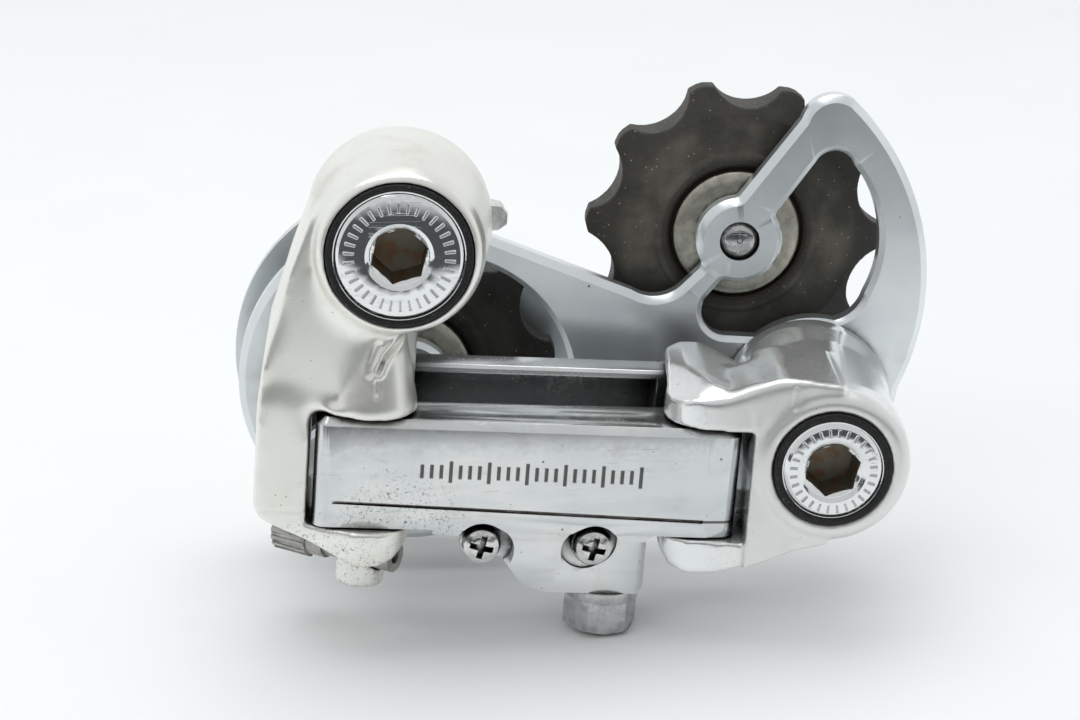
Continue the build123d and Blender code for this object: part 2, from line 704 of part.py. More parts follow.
for place, at, phase in (("guide", GUIDE, GUIDE_PHASE), ("tension", TENSION, TENSION_PHASE)):
    nodes[f"{place}_pulley"] = pulley(at, phase)
    nodes[f"{place}_sleeve"] = rod(BORE_R, 12.8, 20.0, at) - rod(PULLEY_BOLT_R + RUNNING, 0, 40, at)
    nodes[f"{place}_dust_caps"] = Compound([dust_cap(at, -1), dust_cap(at, 1)])
    nodes[f"{place}_pulley_bolt"] = pulley_bolt(at)

os.makedirs("parts", exist_ok=True)
for name, shape in tilted.items():
    export_step(TILT * shape, f"parts/{name}.step")
for name, shape in nodes.items():
    export_step(shape, f"parts/{name}.step")
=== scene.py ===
import json
import math

import bmesh
import bpy
import numpy as np
from mathutils import Matrix, Vector


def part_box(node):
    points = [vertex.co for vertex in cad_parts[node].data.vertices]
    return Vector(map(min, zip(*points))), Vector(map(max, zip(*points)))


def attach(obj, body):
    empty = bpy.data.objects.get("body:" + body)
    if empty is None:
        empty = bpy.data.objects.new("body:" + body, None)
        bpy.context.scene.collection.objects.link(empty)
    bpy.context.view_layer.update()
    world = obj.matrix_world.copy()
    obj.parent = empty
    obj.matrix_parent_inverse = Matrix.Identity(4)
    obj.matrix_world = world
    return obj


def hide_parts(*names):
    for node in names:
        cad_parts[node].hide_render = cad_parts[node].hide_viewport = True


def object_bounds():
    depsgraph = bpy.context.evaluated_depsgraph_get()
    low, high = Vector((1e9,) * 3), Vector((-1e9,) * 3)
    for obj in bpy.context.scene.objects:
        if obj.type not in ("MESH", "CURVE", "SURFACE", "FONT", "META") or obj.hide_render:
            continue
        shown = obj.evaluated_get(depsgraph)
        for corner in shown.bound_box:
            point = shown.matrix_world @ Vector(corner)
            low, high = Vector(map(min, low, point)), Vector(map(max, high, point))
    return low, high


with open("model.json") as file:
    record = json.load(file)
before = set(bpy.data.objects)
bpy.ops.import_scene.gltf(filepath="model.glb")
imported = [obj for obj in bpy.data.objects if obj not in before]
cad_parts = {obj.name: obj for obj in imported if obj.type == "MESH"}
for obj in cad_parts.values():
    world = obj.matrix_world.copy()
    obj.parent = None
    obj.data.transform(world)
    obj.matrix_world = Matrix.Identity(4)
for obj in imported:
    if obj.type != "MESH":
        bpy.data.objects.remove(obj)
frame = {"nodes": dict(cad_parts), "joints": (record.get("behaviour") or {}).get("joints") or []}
cad_low, cad_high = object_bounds()
nodes = frame["nodes"]
joints = {joint["name"]: joint for joint in frame["joints"]}
MM = 0.001
FULL_TURN = 2 * math.pi


# ---------------------------------------------------------------- places taken from the frame
def middle(node):
    low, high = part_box(node)
    return (low + high) / 2


hanger_axis = middle("hanger_bolt")
cage_axis = middle("cage_pivot_bolt")
guide_axis = middle("guide_pulley")
tension_axis = middle("tension_pulley")
link_up = Vector(joints["outer_link_pivot"]["axis"])
link_foot = Vector(joints["outer_link_pivot"]["pos_m"])
link_end = Vector(joints["cage_knuckle_pivot"]["pos_m"])
link_along = (link_end - link_foot).normalized()


# ---------------------------------------------------------------- node materials
class Graph:
    """A material's nodes, added one at a time around its main shader."""

    def __init__(self, name):
        self.material = bpy.data.materials.new(name)
        self.material.use_nodes = True
        self.tree = self.material.node_tree
        self.shader = self.tree.nodes["Principled BSDF"]
        coords = self.add("ShaderNodeTexCoord")
        self.mm = self.add("ShaderNodeVectorMath", operation="SCALE")
        self.link(coords.outputs["Object"], self.mm.inputs[0])
        self.mm.inputs["Scale"].default_value = 1 / MM
        self.mm = self.mm.outputs[0]
        split = self.add("ShaderNodeSeparateXYZ")
        self.link(self.mm, split.inputs[0])
        self.x, self.y, self.z = split.outputs

    def add(self, kind, **settings):
        """A new node with its settings."""
        node = self.tree.nodes.new(kind)
        for key, value in settings.items():
            setattr(node, key, value)
        return node

    def link(self, source, socket):
        self.tree.links.new(source, socket)

    def put(self, socket, value):
        """Link a socket to another node's output, or set it to a constant."""
        if isinstance(value, bpy.types.NodeSocket):
            self.link(value, socket)
        else:
            socket.default_value = value

    def math(self, operation, a, b=0.0, c=0.0, clamp=False):
        node = self.add("ShaderNodeMath", operation=operation, use_clamp=clamp)
        for socket, value in zip(node.inputs, (a, b, c)):
            self.put(socket, value)
        return node.outputs[0]

    def across(self, axis):
        """Distances right of and above an axis that runs inboard, in millimetres."""
        right = self.math("SUBTRACT", self.x, axis.x / MM)
        above = self.math("SUBTRACT", self.z, axis.z / MM)
        return right, above

    def squares(self, a, b):
        """The sum of two squares."""
        return self.math("ADD", self.math("MULTIPLY", a, a), self.math("MULTIPLY", b, b))

    def dot(self, vector):
        """Position along a direction, in millimetres."""
        node = self.add("ShaderNodeVectorMath", operation="DOT_PRODUCT")
        self.link(self.mm, node.inputs[0])
        node.inputs[1].default_value = vector
        return node.outputs["Value"]

    def step(self, value, low, high, bottom=0.0, top=1.0):
        """Smooth change from bottom to top as value goes from low to high."""
        node = self.add("ShaderNodeMapRange", interpolation_type="SMOOTHSTEP")
        for socket, number in zip(node.inputs, (value, low, high, bottom, top)):
            self.put(socket, number)
        return node.outputs[0]

    def inside(self, value, low, high, soft=0.1):
        """1 between low and high, 0 outside."""
        rise = self.step(value, low - soft, low + soft)
        fall = self.step(value, high - soft, high + soft, 1.0, 0.0)
        return self.math("MULTIPLY", rise, fall)

    def turned(self, scale=(1, 1, 1), angles=(0, 0, 0)):
        """The position, turned by angles in degrees and stretched."""
        node = self.add("ShaderNodeMapping")
        self.link(self.mm, node.inputs["Vector"])
        node.inputs["Rotation"].default_value = [math.radians(a) for a in angles]
        node.inputs["Scale"].default_value = scale
        return node.outputs[0]

    def noise(self, scale, detail=3.0, rough=0.55, at=None, bend=0.0):
        """Soft noise about 0.5; scale is how many patches there are to a millimetre."""
        node = self.add("ShaderNodeTexNoise")
        self.link(at or self.mm, node.inputs["Vector"])
        node.inputs["Scale"].default_value = scale
        node.inputs["Detail"].default_value = detail
        node.inputs["Roughness"].default_value = rough
        node.inputs["Distortion"].default_value = bend
        return node.outputs["Fac"]

    def specks(self, scale, size, share):
        """Small round spots: one in each cell of a share of the cells."""
        node = self.add("ShaderNodeTexVoronoi")
        self.link(self.mm, node.inputs["Vector"])
        node.inputs["Scale"].default_value = scale
        split = self.add("ShaderNodeSeparateColor")
        self.link(node.outputs["Color"], split.inputs[0])
        spot = self.step(node.outputs["Distance"], size * 0.5, size, 1.0, 0.0)
        chosen = self.step(split.outputs[0], share - 0.02, share, 1.0, 0.0)
        return self.math("MULTIPLY", spot, chosen)

    def scratches(self, angles, along, across, width, share):
        """Fine hairlines that run one way, broken up along their length."""
        stretched = self.turned((along, across, across), angles)
        value = self.noise(1.0, 2.0, 0.6, stretched, 0.4)
        line = self.math("ABSOLUTE", self.math("SUBTRACT", value, 0.5))
        line = self.step(line, width * 0.3, width, 1.0, 0.0)
        patches = self.noise(0.16, 2.0, 0.6, self.turned(angles=angles))
        return self.math("MULTIPLY", line, self.step(patches, 1 - share, 1.08 - share))

    def mix(self, share, a, b):
        """A colour that goes from a to b as share goes from 0 to 1."""
        node = self.add("ShaderNodeMix", data_type="RGBA")
        node.clamp_factor = True
        for key, value in (("Factor", share), ("A", a), ("B", b)):
            socket = [s for s in node.inputs if s.name == key and s.enabled][0]
            if isinstance(value, tuple):
                value = (*value, 1.0)
            self.put(socket, value)
        return [s for s in node.outputs if s.enabled][0]

    def total(self, *values):
        result = values[0]
        for value in values[1:]:
            result = self.math("ADD", result, value)
        return result

    def bump(self, height, strength, distance, base=None):
        """A normal from a height, whose unit is distance in millimetres."""
        node = self.add("ShaderNodeBump")
        self.link(height, node.inputs["Height"])
        node.inputs["Strength"].default_value = strength
        node.inputs["Distance"].default_value = distance * MM
        if base:
            self.link(base, node.inputs["Normal"])
        return node.outputs[0]

    def hollows(self, reach, low=0.55, high=0.95):
        """1 in corners and slots."""
        node = self.add("ShaderNodeAmbientOcclusion", samples=8)
        node.inputs["Distance"].default_value = reach * MM
        return self.step(node.outputs["AO"], low, high, 1.0, 0.0)

    def finish(self, color, metal, rough, normal=None, **sockets):
        """Join everything to the main shader; sockets are further constants set on it."""
        self.link(color, self.shader.inputs["Base Color"])
        self.shader.inputs["Metallic"].default_value = metal
        self.put(self.shader.inputs["Roughness"], rough)
        if normal:
            self.link(normal, self.shader.inputs["Normal"])
        for key, value in sockets.items():
            self.shader.inputs[key.replace("_", " ")].default_value = value
        return self.material


SCRATCH_GREY = (0.33, 0.31, 0.27)
FILM_BROWN = (0.50, 0.46, 0.38)
PIT_BROWN = (0.12, 0.09, 0.06)
DIRT_BROWN = (0.13, 0.105, 0.075)
# near black, painted as shade in slots and channels
PAINTED_SHADE_BLACK = (0.011, 0.011, 0.010)


def worn_alloy(name, light, dark, rough, scratch=1.0, grime=1.0, pits=1.0, grain=1.0, worst=None,
               shade=(3.0, 0.20, 0.48)):
    """Polished cast aluminium: cloudy, finely scratched, pitted, with brown dirt in its hollows.

    grain is how much the polish varies over short distances.  worst is a centre and a radius
    in millimetres where the wear is heaviest.  shade is the reach and the two openness values
    between which slots and channels are painted near black, as painted shade.  The graph, the
    colour, the roughness and the normal are handed back, for more to be laid over them.
    """
    g = Graph(name)
    cloud = g.step(g.noise(0.07, 3.0, 0.5), 0.35, 0.68)
    fine = g.noise(1.6, 3.0, 0.6)
    color = g.mix(cloud, light, dark)
    lines = g.total(
        g.scratches((0, 12, 20), 0.05, 1.6, 0.007, 0.42),
        g.scratches((10, -38, 5), 0.09, 1.1, 0.006, 0.40),
        g.scratches((35, 70, 0), 0.08, 1.3, 0.006, 0.36),
    )
    lines = g.math("MINIMUM", lines, 1.0)
    color = g.mix(g.math("MULTIPLY", lines, 0.30 * scratch), color, SCRATCH_GREY)
    worn = g.step(g.noise(0.13, 3.0, 0.6), 0.50, 0.64)
    if worst:
        centre, radius = worst
        away = g.add("ShaderNodeVectorMath", operation="DISTANCE")
        g.link(g.mm, away.inputs[0])
        away.inputs[1].default_value = centre
        heavy = g.step(away.outputs["Value"], radius * 0.55, radius, 1.0, 0.0)
        worn = g.math("MAXIMUM", worn, heavy)
        nicks = g.math("MULTIPLY", g.step(g.noise(2.6, 4.0, 0.7, bend=1.2), 0.57, 0.63), heavy)
    small = g.math("MULTIPLY", g.specks(1.5, 0.17, 0.20 * pits), worn)
    large = g.specks(0.42, 0.09, 0.10 * pits)
    spots = g.math("MINIMUM", g.total(small, large), 1.0)
    if worst:
        spots = g.math("MAXIMUM", spots, nicks)
    patchy = g.step(g.noise(0.45, 4.0, 0.6), 0.30, 0.60)
    dirt = g.math("MULTIPLY", g.math("MULTIPLY", g.hollows(1.3, 0.45, 0.9), patchy), 0.7 * grime)
    # painted shade: slots and channels are painted near black, by their openness within the reach
    deep = g.hollows(*shade)
    film = g.math("MULTIPLY", g.step(g.noise(0.16, 4.0, 0.65), 0.52, 0.75), 0.30 * grime)
    color = g.mix(film, color, FILM_BROWN)
    color = g.mix(g.math("MULTIPLY", spots, 0.75), color, PIT_BROWN)
    color = g.mix(dirt, color, DIRT_BROWN)
    color = g.mix(deep, color, PAINTED_SHADE_BLACK)
    polish = g.step(fine, 0.3, 0.75, rough - 0.03 * grain, rough + 0.05 * grain)
    roughness = g.math("ADD", polish, g.math("MULTIPLY", film, 0.35))
    dull = g.math("MAXIMUM", spots, dirt)
    roughness = g.math("ADD", roughness, g.math("MULTIPLY", dull, 0.35), clamp=True)
    height = g.math("MULTIPLY", g.total(lines, g.math("MULTIPLY", spots, 2.0)), -1.0)
    normal = g.bump(height, 0.25 * scratch, 0.02)
    normal = g.bump(g.noise(0.16, 2.0, 0.5), 0.10, 0.30, normal)
    return g, color, roughness, normal


def alloy(name, light, dark, rough, matte=None, metal=0.88, **wear):
    """Worn alloy; matte is the depth in front of which the casting is left unpolished."""
    g, color, roughness, normal = worn_alloy(name, light, dark, rough, **wear)
    if matte:
        front = g.step(g.y, matte - 0.5, matte + 0.5, 1.0, 0.0)
        color = g.mix(g.math("MULTIPLY", front, 0.5), color, (0.66, 0.655, 0.61))
        roughness = g.math("MULTIPLY_ADD", front, 0.16, roughness)
    return g.finish(color, metal, roughness, normal)


def chrome(name, axis, face, inner, outer, count, crown, thread=None):
    """Bright plating, slightly domed, with a ring of short plain marks and a dirty socket.

    inner and outer are the ring's radii and count is its number of marks.  face is how far
    along the bolt its cap is.  thread is where a thread of 1 mm pitch starts and ends.
    """
    g = Graph(name)
    right, above = g.across(axis)
    square = g.squares(right, above)
    radius = g.math("SQRT", square)
    angle = g.math("ARCTAN2", above, right)
    beat = g.math("FRACT", g.math("MULTIPLY", angle, count / FULL_TURN))
    front = g.step(g.y, face + 0.4, face + 0.5, 1.0, 0.0)
    dash = g.math("MULTIPLY", g.inside(radius, inner, outer, 0.07), g.inside(beat, 0.38, 0.62, 0.09))
    dash = g.math("MULTIPLY", dash, front)
    socket = g.inside(g.y, face + 0.9, face + 6.5, 0.2)
    sunk = g.math("MULTIPLY", socket, g.step(radius, 4.0, 4.1, 1.0, 0.0))
    rust = g.math("MULTIPLY", sunk, g.step(g.noise(0.55, 4.0, 0.6), 0.47, 0.62))
    spots = g.math("MULTIPLY", g.specks(1.3, 0.12, 0.10), 0.7)
    color = g.mix(g.math("MULTIPLY", dash, 0.55), (0.80, 0.81, 0.81), (0.16, 0.16, 0.16))
    color = g.mix(spots, color, (0.20, 0.15, 0.11))
    color = g.mix(g.math("MULTIPLY", sunk, 0.92), color, (0.22, 0.20, 0.15))
    color = g.mix(g.math("MULTIPLY", rust, 0.6), color, (0.30, 0.14, 0.06))
    fine = g.noise(1.1, 4.0, 0.6)
    rough = g.total(
        g.step(fine, 0.35, 0.8, 0.04, 0.10),
        g.math("MULTIPLY", dash, 0.2),
        g.math("MULTIPLY", sunk, 0.5),
    )
    lines = g.scratches((0, 25, 0), 0.08, 2.0, 0.008, 0.5)
    dome = g.math("MULTIPLY", g.math("MULTIPLY", square, front), -crown)
    height = g.total(dome, g.math("MULTIPLY", dash, -0.10), g.math("MULTIPLY", lines, -0.004))
    if thread:
        threaded = g.inside(g.y, *thread, 0.1)
        turn = g.math("ADD", g.y, g.math("MULTIPLY", angle, 1 / FULL_TURN))
        ridge = g.math("MULTIPLY", g.math("PINGPONG", turn, 0.5), threaded)
        color = g.mix(g.math("MULTIPLY", threaded, 0.4), color, (0.30, 0.27, 0.22))
        height = g.total(height, ridge)
    return g.finish(color, 1.0, rough, g.bump(height, 1.0, 1.0))


def steel(name, light, rough, rust=0.3, grime=0.6, painted_slot_shade=0.0):
    """Plated or bare steel with dull patches and a little rust in its corners.

    The last argument is how far painted shade darkens its deep slots towards near black.
    """
    g = Graph(name)
    patch = g.step(g.noise(0.7, 5.0, 0.65), 0.36, 0.66)
    color = g.mix(patch, light, tuple(v * 0.72 for v in light))
    stain = g.math("MULTIPLY", g.hollows(1.0, 0.5, 0.95), g.step(g.noise(0.9, 5.0, 0.7), 0.38, 0.62))
    color = g.mix(g.math("MULTIPLY", stain, grime), color, (0.10, 0.075, 0.055))
    # painted shade: deep slots darkened towards near black
    color = g.mix(g.math("MULTIPLY", g.hollows(1.6, 0.35, 0.75), painted_slot_shade), color, (0.030, 0.024, 0.018))
    bloom = g.math("MULTIPLY", g.step(g.noise(0.55, 6.0, 0.75), 0.60, 0.72), rust)
    color = g.mix(bloom, color, (0.22, 0.10, 0.04))
    polish = g.step(g.noise(1.8, 4.0, 0.6), 0.3, 0.75, rough - 0.06, rough + 0.12)
    dull = g.math("MAXIMUM", stain, bloom)
    roughness = g.math("ADD", polish, g.math("MULTIPLY", dull, 0.3), clamp=True)
    lines = g.scratches((20, 35, 10), 0.10, 2.4, 0.012, 0.5)
    height = g.math("SUBTRACT", g.math("MULTIPLY", g.noise(2.4, 4.0, 0.6), 0.4), lines)
    return g.finish(color, 1.0, roughness, g.bump(height, 0.3, 0.05))


def resin(name, axis, painted_shade_tone=1.0):
    """Dark brown moulded resin with dust in its grain, darker at the hub; painted shade darkens its tooth
    tips, the faces that other parts close over, and, by the given factor, all of it.
    """
    g = Graph(name)
    radius = g.math("SQRT", g.squares(*g.across(axis)))
    grain = g.noise(1.9, 6.0, 0.72)
    # the factor given darkens the whole pulley, as painted shade; 1.0 leaves it as moulded
    deep = tuple(v * painted_shade_tone for v in (0.036, 0.034, 0.029))
    pale = tuple(v * painted_shade_tone for v in (0.095, 0.088, 0.070))
    color = g.mix(g.step(g.noise(0.20, 4.0, 0.6), 0.32, 0.70), deep, pale)
    # painted shade on the tooth tips; the face inside the hub ring is darker too
    rim = g.math("MAXIMUM", g.step(radius, 13.6, 16.0), g.step(radius, 9.4, 9.9, 1.0, 0.0))
    color = g.mix(g.math("MULTIPLY", rim, 0.75), color, tuple(v * 0.7 for v in deep))
    dust = g.math("MULTIPLY", g.step(grain, 0.56, 0.74), 0.45)
    color = g.mix(dust, color, (0.20, 0.155, 0.115))
    color = g.mix(g.math("MULTIPLY", g.specks(1.5, 0.16, 0.22), 0.8), color, (0.42, 0.36, 0.28))
    color = g.mix(g.math("MULTIPLY", g.hollows(1.2), 0.6), color, (0.11, 0.075, 0.045))
    # painted shade where the cage plates and other parts close over the pulley
    color = g.mix(g.math("MULTIPLY", g.hollows(7.0, 0.40, 0.90), 0.7), color, (0.014, 0.013, 0.011))
    rough = g.step(grain, 0.3, 0.75, 0.46, 0.72)
    return g.finish(color, 0.0, rough, g.bump(grain, 0.35, 0.10), Specular_IOR_Level=0.35)


def rubber(name):
    """Black rubber with dust specks."""
    g = Graph(name)
    grain = g.noise(3.0, 4.0, 0.6)
    color = g.mix(g.step(grain, 0.45, 0.75), (0.008, 0.008, 0.009), (0.035, 0.033, 0.031))
    color = g.mix(g.math("MULTIPLY", g.specks(1.6, 0.14, 0.12), 0.6), color, (0.30, 0.27, 0.24))
    rough = g.step(grain, 0.3, 0.7, 0.48, 0.68)
    return g.finish(color, 0.0, rough, g.bump(grain, 0.25, 0.05), Specular_IOR_Level=0.3)


TICK_PITCH = 1.15          # the engraved row on the link, in millimetres
TICK_REACH = 0.85
TICK_ROW = 0.9
TICK_SPAN = (5.7, 33.4)
LINE_DROP = 31.5           # the engraved line, below the link's pivot
LINE_SLOPE = math.tan(math.radians(1.5))


def face_plate(name):
    """The link's polished face, with a row of plain engraved ticks, every fourth one longer."""
    low_corner = (link_foot + link_along * 0.004 - link_up * 0.008) / MM
    # shade here paints the link's notches and slots near black, as painted shade
    g, color, roughness, normal = worn_alloy(
        name, (0.74, 0.75, 0.74), (0.64, 0.66, 0.67), 0.17, worst=(low_corner, 11.5), shade=(3.0, 0.30, 0.62))
    along = g.math("SUBTRACT", g.dot(link_along), link_along.dot(link_foot) / MM)
    up = g.math("SUBTRACT", g.dot(link_up), link_up.dot(link_foot) / MM)
    steps = g.math("MULTIPLY", along, 1 / TICK_PITCH)
    beat = g.math("FRACT", steps)
    fourth = g.math("COMPARE", g.math("MODULO", g.math("FLOOR", steps), 4.0), 0.0, 0.1)
    reach = g.math("ADD", TICK_REACH, g.math("MULTIPLY", fourth, 0.5))
    above = g.math("ABSOLUTE", g.math("SUBTRACT", up, TICK_ROW))
    within = g.step(g.math("SUBTRACT", above, reach), -0.08, 0.08, 1.0, 0.0)
    tick = g.math("MULTIPLY", g.inside(beat, 0.30, 0.66, 0.05), within)
    tick = g.math("MULTIPLY", tick, g.inside(along, *TICK_SPAN, 0.05))
    streak = g.noise(1.0, 4.0, 0.6, g.turned((0.045, 0.5, 0.5), (0, 5, 0)), 0.3)
    color = g.mix(g.math("MULTIPLY", g.step(streak, 0.42, 0.70), 0.30), color, (0.50, 0.53, 0.56))
    marks = g.math("MULTIPLY", tick, 0.9)
    color = g.mix(marks, color, (0.075, 0.070, 0.065))
    # dirt packed in the engraved line
    drop = g.math("ADD", g.dot(link_up), g.math("MULTIPLY_ADD", along, LINE_SLOPE, LINE_DROP))
    packed = g.math("MULTIPLY", g.inside(drop, -0.17, 0.17, 0.06), g.inside(along, -4.0, 44.5, 0.3))
    color = g.mix(g.math("MULTIPLY", packed, 0.85), color, (0.05, 0.042, 0.032))
    roughness = g.math("ADD", roughness, g.math("MULTIPLY", marks, 0.3), clamp=True)
    normal = g.bump(g.math("MULTIPLY", marks, -1.0), 0.7, 0.25, normal)
    return g.finish(color, 0.92, roughness, normal)


# ---------------------------------------------------------------- shaping
def assign(material, *names):
    """Give a material to nodes."""
    for name in names:
        node = nodes[name]
        node.data.materials.clear()
        node.data.materials.append(material)


def soften(name, voxel, rounds):
    """Moulded look: one skin over the node, with every edge a little rounded."""
    node = nodes[name]
    skin = node.modifiers.new("skin", "REMESH")
    skin.mode = "VOXEL"
    skin.voxel_size = voxel * MM
    skin.use_smooth_shade = True
    smooth = node.modifiers.new("cast", "SMOOTH")
    smooth.factor = 0.5
    smooth.iterations = rounds


def relax(points, ends, share, rounds):
    """Move each point towards the mean of its neighbours, by its own share."""
    count = np.bincount(ends.ravel(), minlength=len(points))[:, None]
    for _ in range(rounds):
        total = np.zeros_like(points)
        for axis in range(3):
            total[:, axis] = np.bincount(ends[:, 0], points[ends[:, 1], axis], len(points))
            total[:, axis] += np.bincount(ends[:, 1], points[ends[:, 0], axis], len(points))
        points += (total / count - points) * 0.5 * share
    return points


def crease(points, line, width, depth):
    """Press a soft furrow, with raised lips, into the front along a line of points."""
    nearest = np.full(len(points), 1.0)
    flat = points[:, [0, 2]]
    for start, end in zip(line[:-1, [0, 2]], line[1:, [0, 2]]):
        way = end - start
        share = np.clip(((flat - start) @ way) / (way @ way), 0.0, 1.0)
        nearest = np.minimum(nearest, np.linalg.norm(flat - (start + share[:, None] * way), axis=1))
    nearest[points[:, 1] > line[:, 1].max() + 0.002] = 1.0
    away = nearest / width
    points[:, 1] += depth * (np.exp(-away ** 2) - 0.3 * np.exp(-(away - 2.2) ** 2))
    return points


def cast_skin(name, body, material, rounds, zones, creases):
    """A cast skin in place of a node: every edge rounded, and large blends inside the zones.

    Each zone is a centre and a radius in millimetres and the extra rounds of smoothing.
    Each crease is a line of points in millimetres, its width and its depth.
    """
    node = nodes[name]
    remesh = node.modifiers.new("skin", "REMESH")
    remesh.mode = "VOXEL"
    remesh.voxel_size = SKIN_VOXEL * MM
    depsgraph = bpy.context.evaluated_depsgraph_get()
    mesh = bpy.data.meshes.new_from_object(node.evaluated_get(depsgraph))
    node.modifiers.remove(remesh)
    points = np.empty(len(mesh.vertices) * 3)
    mesh.vertices.foreach_get("co", points)
    points = points.reshape(-1, 3)
    ends = np.empty(len(mesh.edges) * 2, np.int64)
    mesh.edges.foreach_get("vertices", ends)
    ends = ends.reshape(-1, 2)
    points = relax(points, ends, 1.0, rounds)
    for centre, radius, extra in zones:
        away = np.linalg.norm(points - np.array(centre) * MM, axis=1) / (radius * MM)
        share = np.clip(1.0 - away, 0.0, 1.0)[:, None]
        points = relax(points, ends, np.minimum(share * 1.6, 1.0), extra)
    for line, width, depth in creases:
        points = crease(points, np.array(line) * MM, width * MM, depth * MM)
    low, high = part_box(name)
    points = np.clip(points, np.array(low), np.array(high))
    mesh.vertices.foreach_set("co", points.ravel())
    mesh.shade_smooth()
    skin = bpy.data.objects.new(name + "_cast", mesh)
    bpy.context.scene.collection.objects.link(skin)
    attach(skin, body)
    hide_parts(name)
    mesh.materials.clear()
    mesh.materials.append(material)


def edge_round(name, width, flat=False):
    """Machined look: a small round on every hard edge.

    flat keeps the shading of the large faces level right up to the round.
    """
    node = nodes[name]
    weld = node.modifiers.new("weld", "WELD")
    weld.merge_threshold = 0.001 * MM
    bevel = node.modifiers.new("edges", "BEVEL")
    bevel.width = width * MM
    bevel.segments = 3
    bevel.limit_method = "ANGLE"
    bevel.angle_limit = math.radians(35)
    bevel.harden_normals = True
    bevel.use_clamp_overlap = True
    if flat:
        level = node.modifiers.new("level", "WEIGHTED_NORMAL")
        level.mode = "FACE_AREA"
        level.weight = 100
        level.keep_sharp = False
    for face in node.data.polygons:
        face.use_smooth = True


# ---------------------------------------------------------------- materials of the nodes
low_flange = (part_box("hanger_knuckle")[0] + Vector((0.010, 0.006, 0.005))) / MM
cast = alloy(
    "cast_alloy", (0.88, 0.88, 0.835), (0.80, 0.795, 0.745), 0.30,
    scratch=0.8, grain=0.5, metal=0.80, worst=(low_flange, 11.0))
cage_cast = alloy(
    "cage_cast_alloy", (0.87, 0.885, 0.885), (0.79, 0.805, 0.81), 0.20,
    scratch=0.5, grime=0.6, metal=0.80, matte=-16.6)
# shade here paints the channel between the two links near black, as painted shade
inner_alloy = alloy(
    "inner_alloy", (0.70, 0.72, 0.73), (0.60, 0.62, 0.63), 0.22, shade=(9.0, 0.42, 0.82))
plate_alloy = alloy(
    "plate_alloy", (0.80, 0.835, 0.845), (0.68, 0.715, 0.73), 0.28,
    scratch=0.25, grime=0.8, pits=0.5, grain=0.08)
hanger_chrome = chrome(
    "hanger_chrome", hanger_axis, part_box("hanger_bolt")[0].y / MM,
    inner=5.3, outer=6.5, count=34, crown=0.0115, thread=(0.6, 8.2))
cage_chrome = chrome(
    "cage_chrome", cage_axis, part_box("cage_pivot_bolt")[0].y / MM,
    inner=4.4, outer=5.3, count=28, crown=0.013)
screw_zinc = steel("screw_zinc", (0.78, 0.78, 0.77), 0.16, rust=0.1, grime=0.5, painted_slot_shade=0.97)
zinc = steel("zinc", (0.56, 0.57, 0.57), 0.18, rust=0.35, grime=0.9, painted_slot_shade=0.5)
pressed_steel = steel("pressed_steel", (0.84, 0.84, 0.82), 0.34, rust=0.1, grime=0.4)
dust_cap_steel = steel("dust_cap_steel", (0.50, 0.485, 0.42), 0.38, rust=0.5, grime=0.9)
pin_steel = steel("pin_steel", (0.50, 0.48, 0.45), 0.30)
spring_steel = steel("spring_steel", (0.72, 0.72, 0.72), 0.18, rust=0.1)
adjuster_alloy = steel("adjuster_alloy", (0.46, 0.45, 0.42), 0.32, rust=0.1, grime=0.9, painted_slot_shade=0.7)
bearing_bronze = steel("bearing_bronze", (0.60, 0.42, 0.22), 0.32, rust=0.1)

assign(cast, "hanger_knuckle")
assign(cage_cast, "cage_knuckle")
assign(inner_alloy, "inner_link")
assign(plate_alloy, "outer_cage_plate", "inner_cage_plate")
assign(face_plate("face_plate"), "outer_link")
assign(hanger_chrome, "hanger_bolt")
assign(cage_chrome, "cage_pivot_bolt")
assign(screw_zinc, "limit_screw_high", "limit_screw_low")
assign(zinc, "cable_anchor_bolt", "cable_clamp_washer", "cage_stop_pin")
assign(zinc, "guide_pulley_bolt", "tension_pulley_bolt")
assign(pressed_steel, "hanger_stop_plate")
assign(dust_cap_steel, "guide_dust_caps", "tension_dust_caps")
assign(pin_steel, "hanger_pin_outer", "hanger_pin_inner", "cage_pin_outer", "cage_pin_inner")
assign(pin_steel, "guide_sleeve", "tension_sleeve")
assign(spring_steel, "hanger_spring", "cage_spring", "link_return_spring")
assign(adjuster_alloy, "cable_adjuster")
assign(bearing_bronze, "hanger_bushing", "cage_bushing")
assign(rubber("black_rubber"), "hanger_bolt_seal", "cage_pivot_seal")
assign(resin("guide_resin", guide_axis), "guide_pulley")
# the tension pulley is a darker copy of the resin: painted shade
assign(resin("tension_resin_painted_shade", tension_axis, painted_shade_tone=0.35), "tension_pulley")

# ---------------------------------------------------------------- shapes of the nodes
SKIN_VOXEL = 0.25
hanger_blends = [
    ((-8.0, -17.0, -9.5), 8.0, 120),        # where the arm leaves the barrel
    ((2.5, -17.0, -11.5), 4.5, 60),         # beside the front ear's cone
    ((-14.0, -16.0, -10.0), 5.0, 60),       # the arm's outer edge
    ((-12.5, -17.0, -18.5), 5.0, 90),       # the top of the arm's pad
]
ear_creases = [
    ([(0.3, -17.0, -11.0), (-1.9, -17.0, -13.0), (-2.7, -17.0, -14.6)], 0.28, 0.45),
    ([(-2.2, -17.0, -13.6), (-2.9, -17.0, -15.2), (-3.0, -17.0, -17.2)], 0.20, 0.25),
    ([(-2.6, -17.0, -11.6), (-3.4, -17.0, -13.8), (-3.6, -17.0, -14.8)], 0.35, 0.22),
]
cage_blends = [
    ((44.0, -16.0, -18.0), 5.0, 60),        # where the front ear meets the block
    ((43.0, -6.0, -19.0), 7.0, 60),         # where the saddle meets the wall
    ((38.5, -15.0, -16.8), 4.5, 80),        # the top of the front ear
]
block_creases = [
    ([(47.0, -17.8, -17.8), (46.8, -17.8, -20.4)], 0.22, 0.14),
]
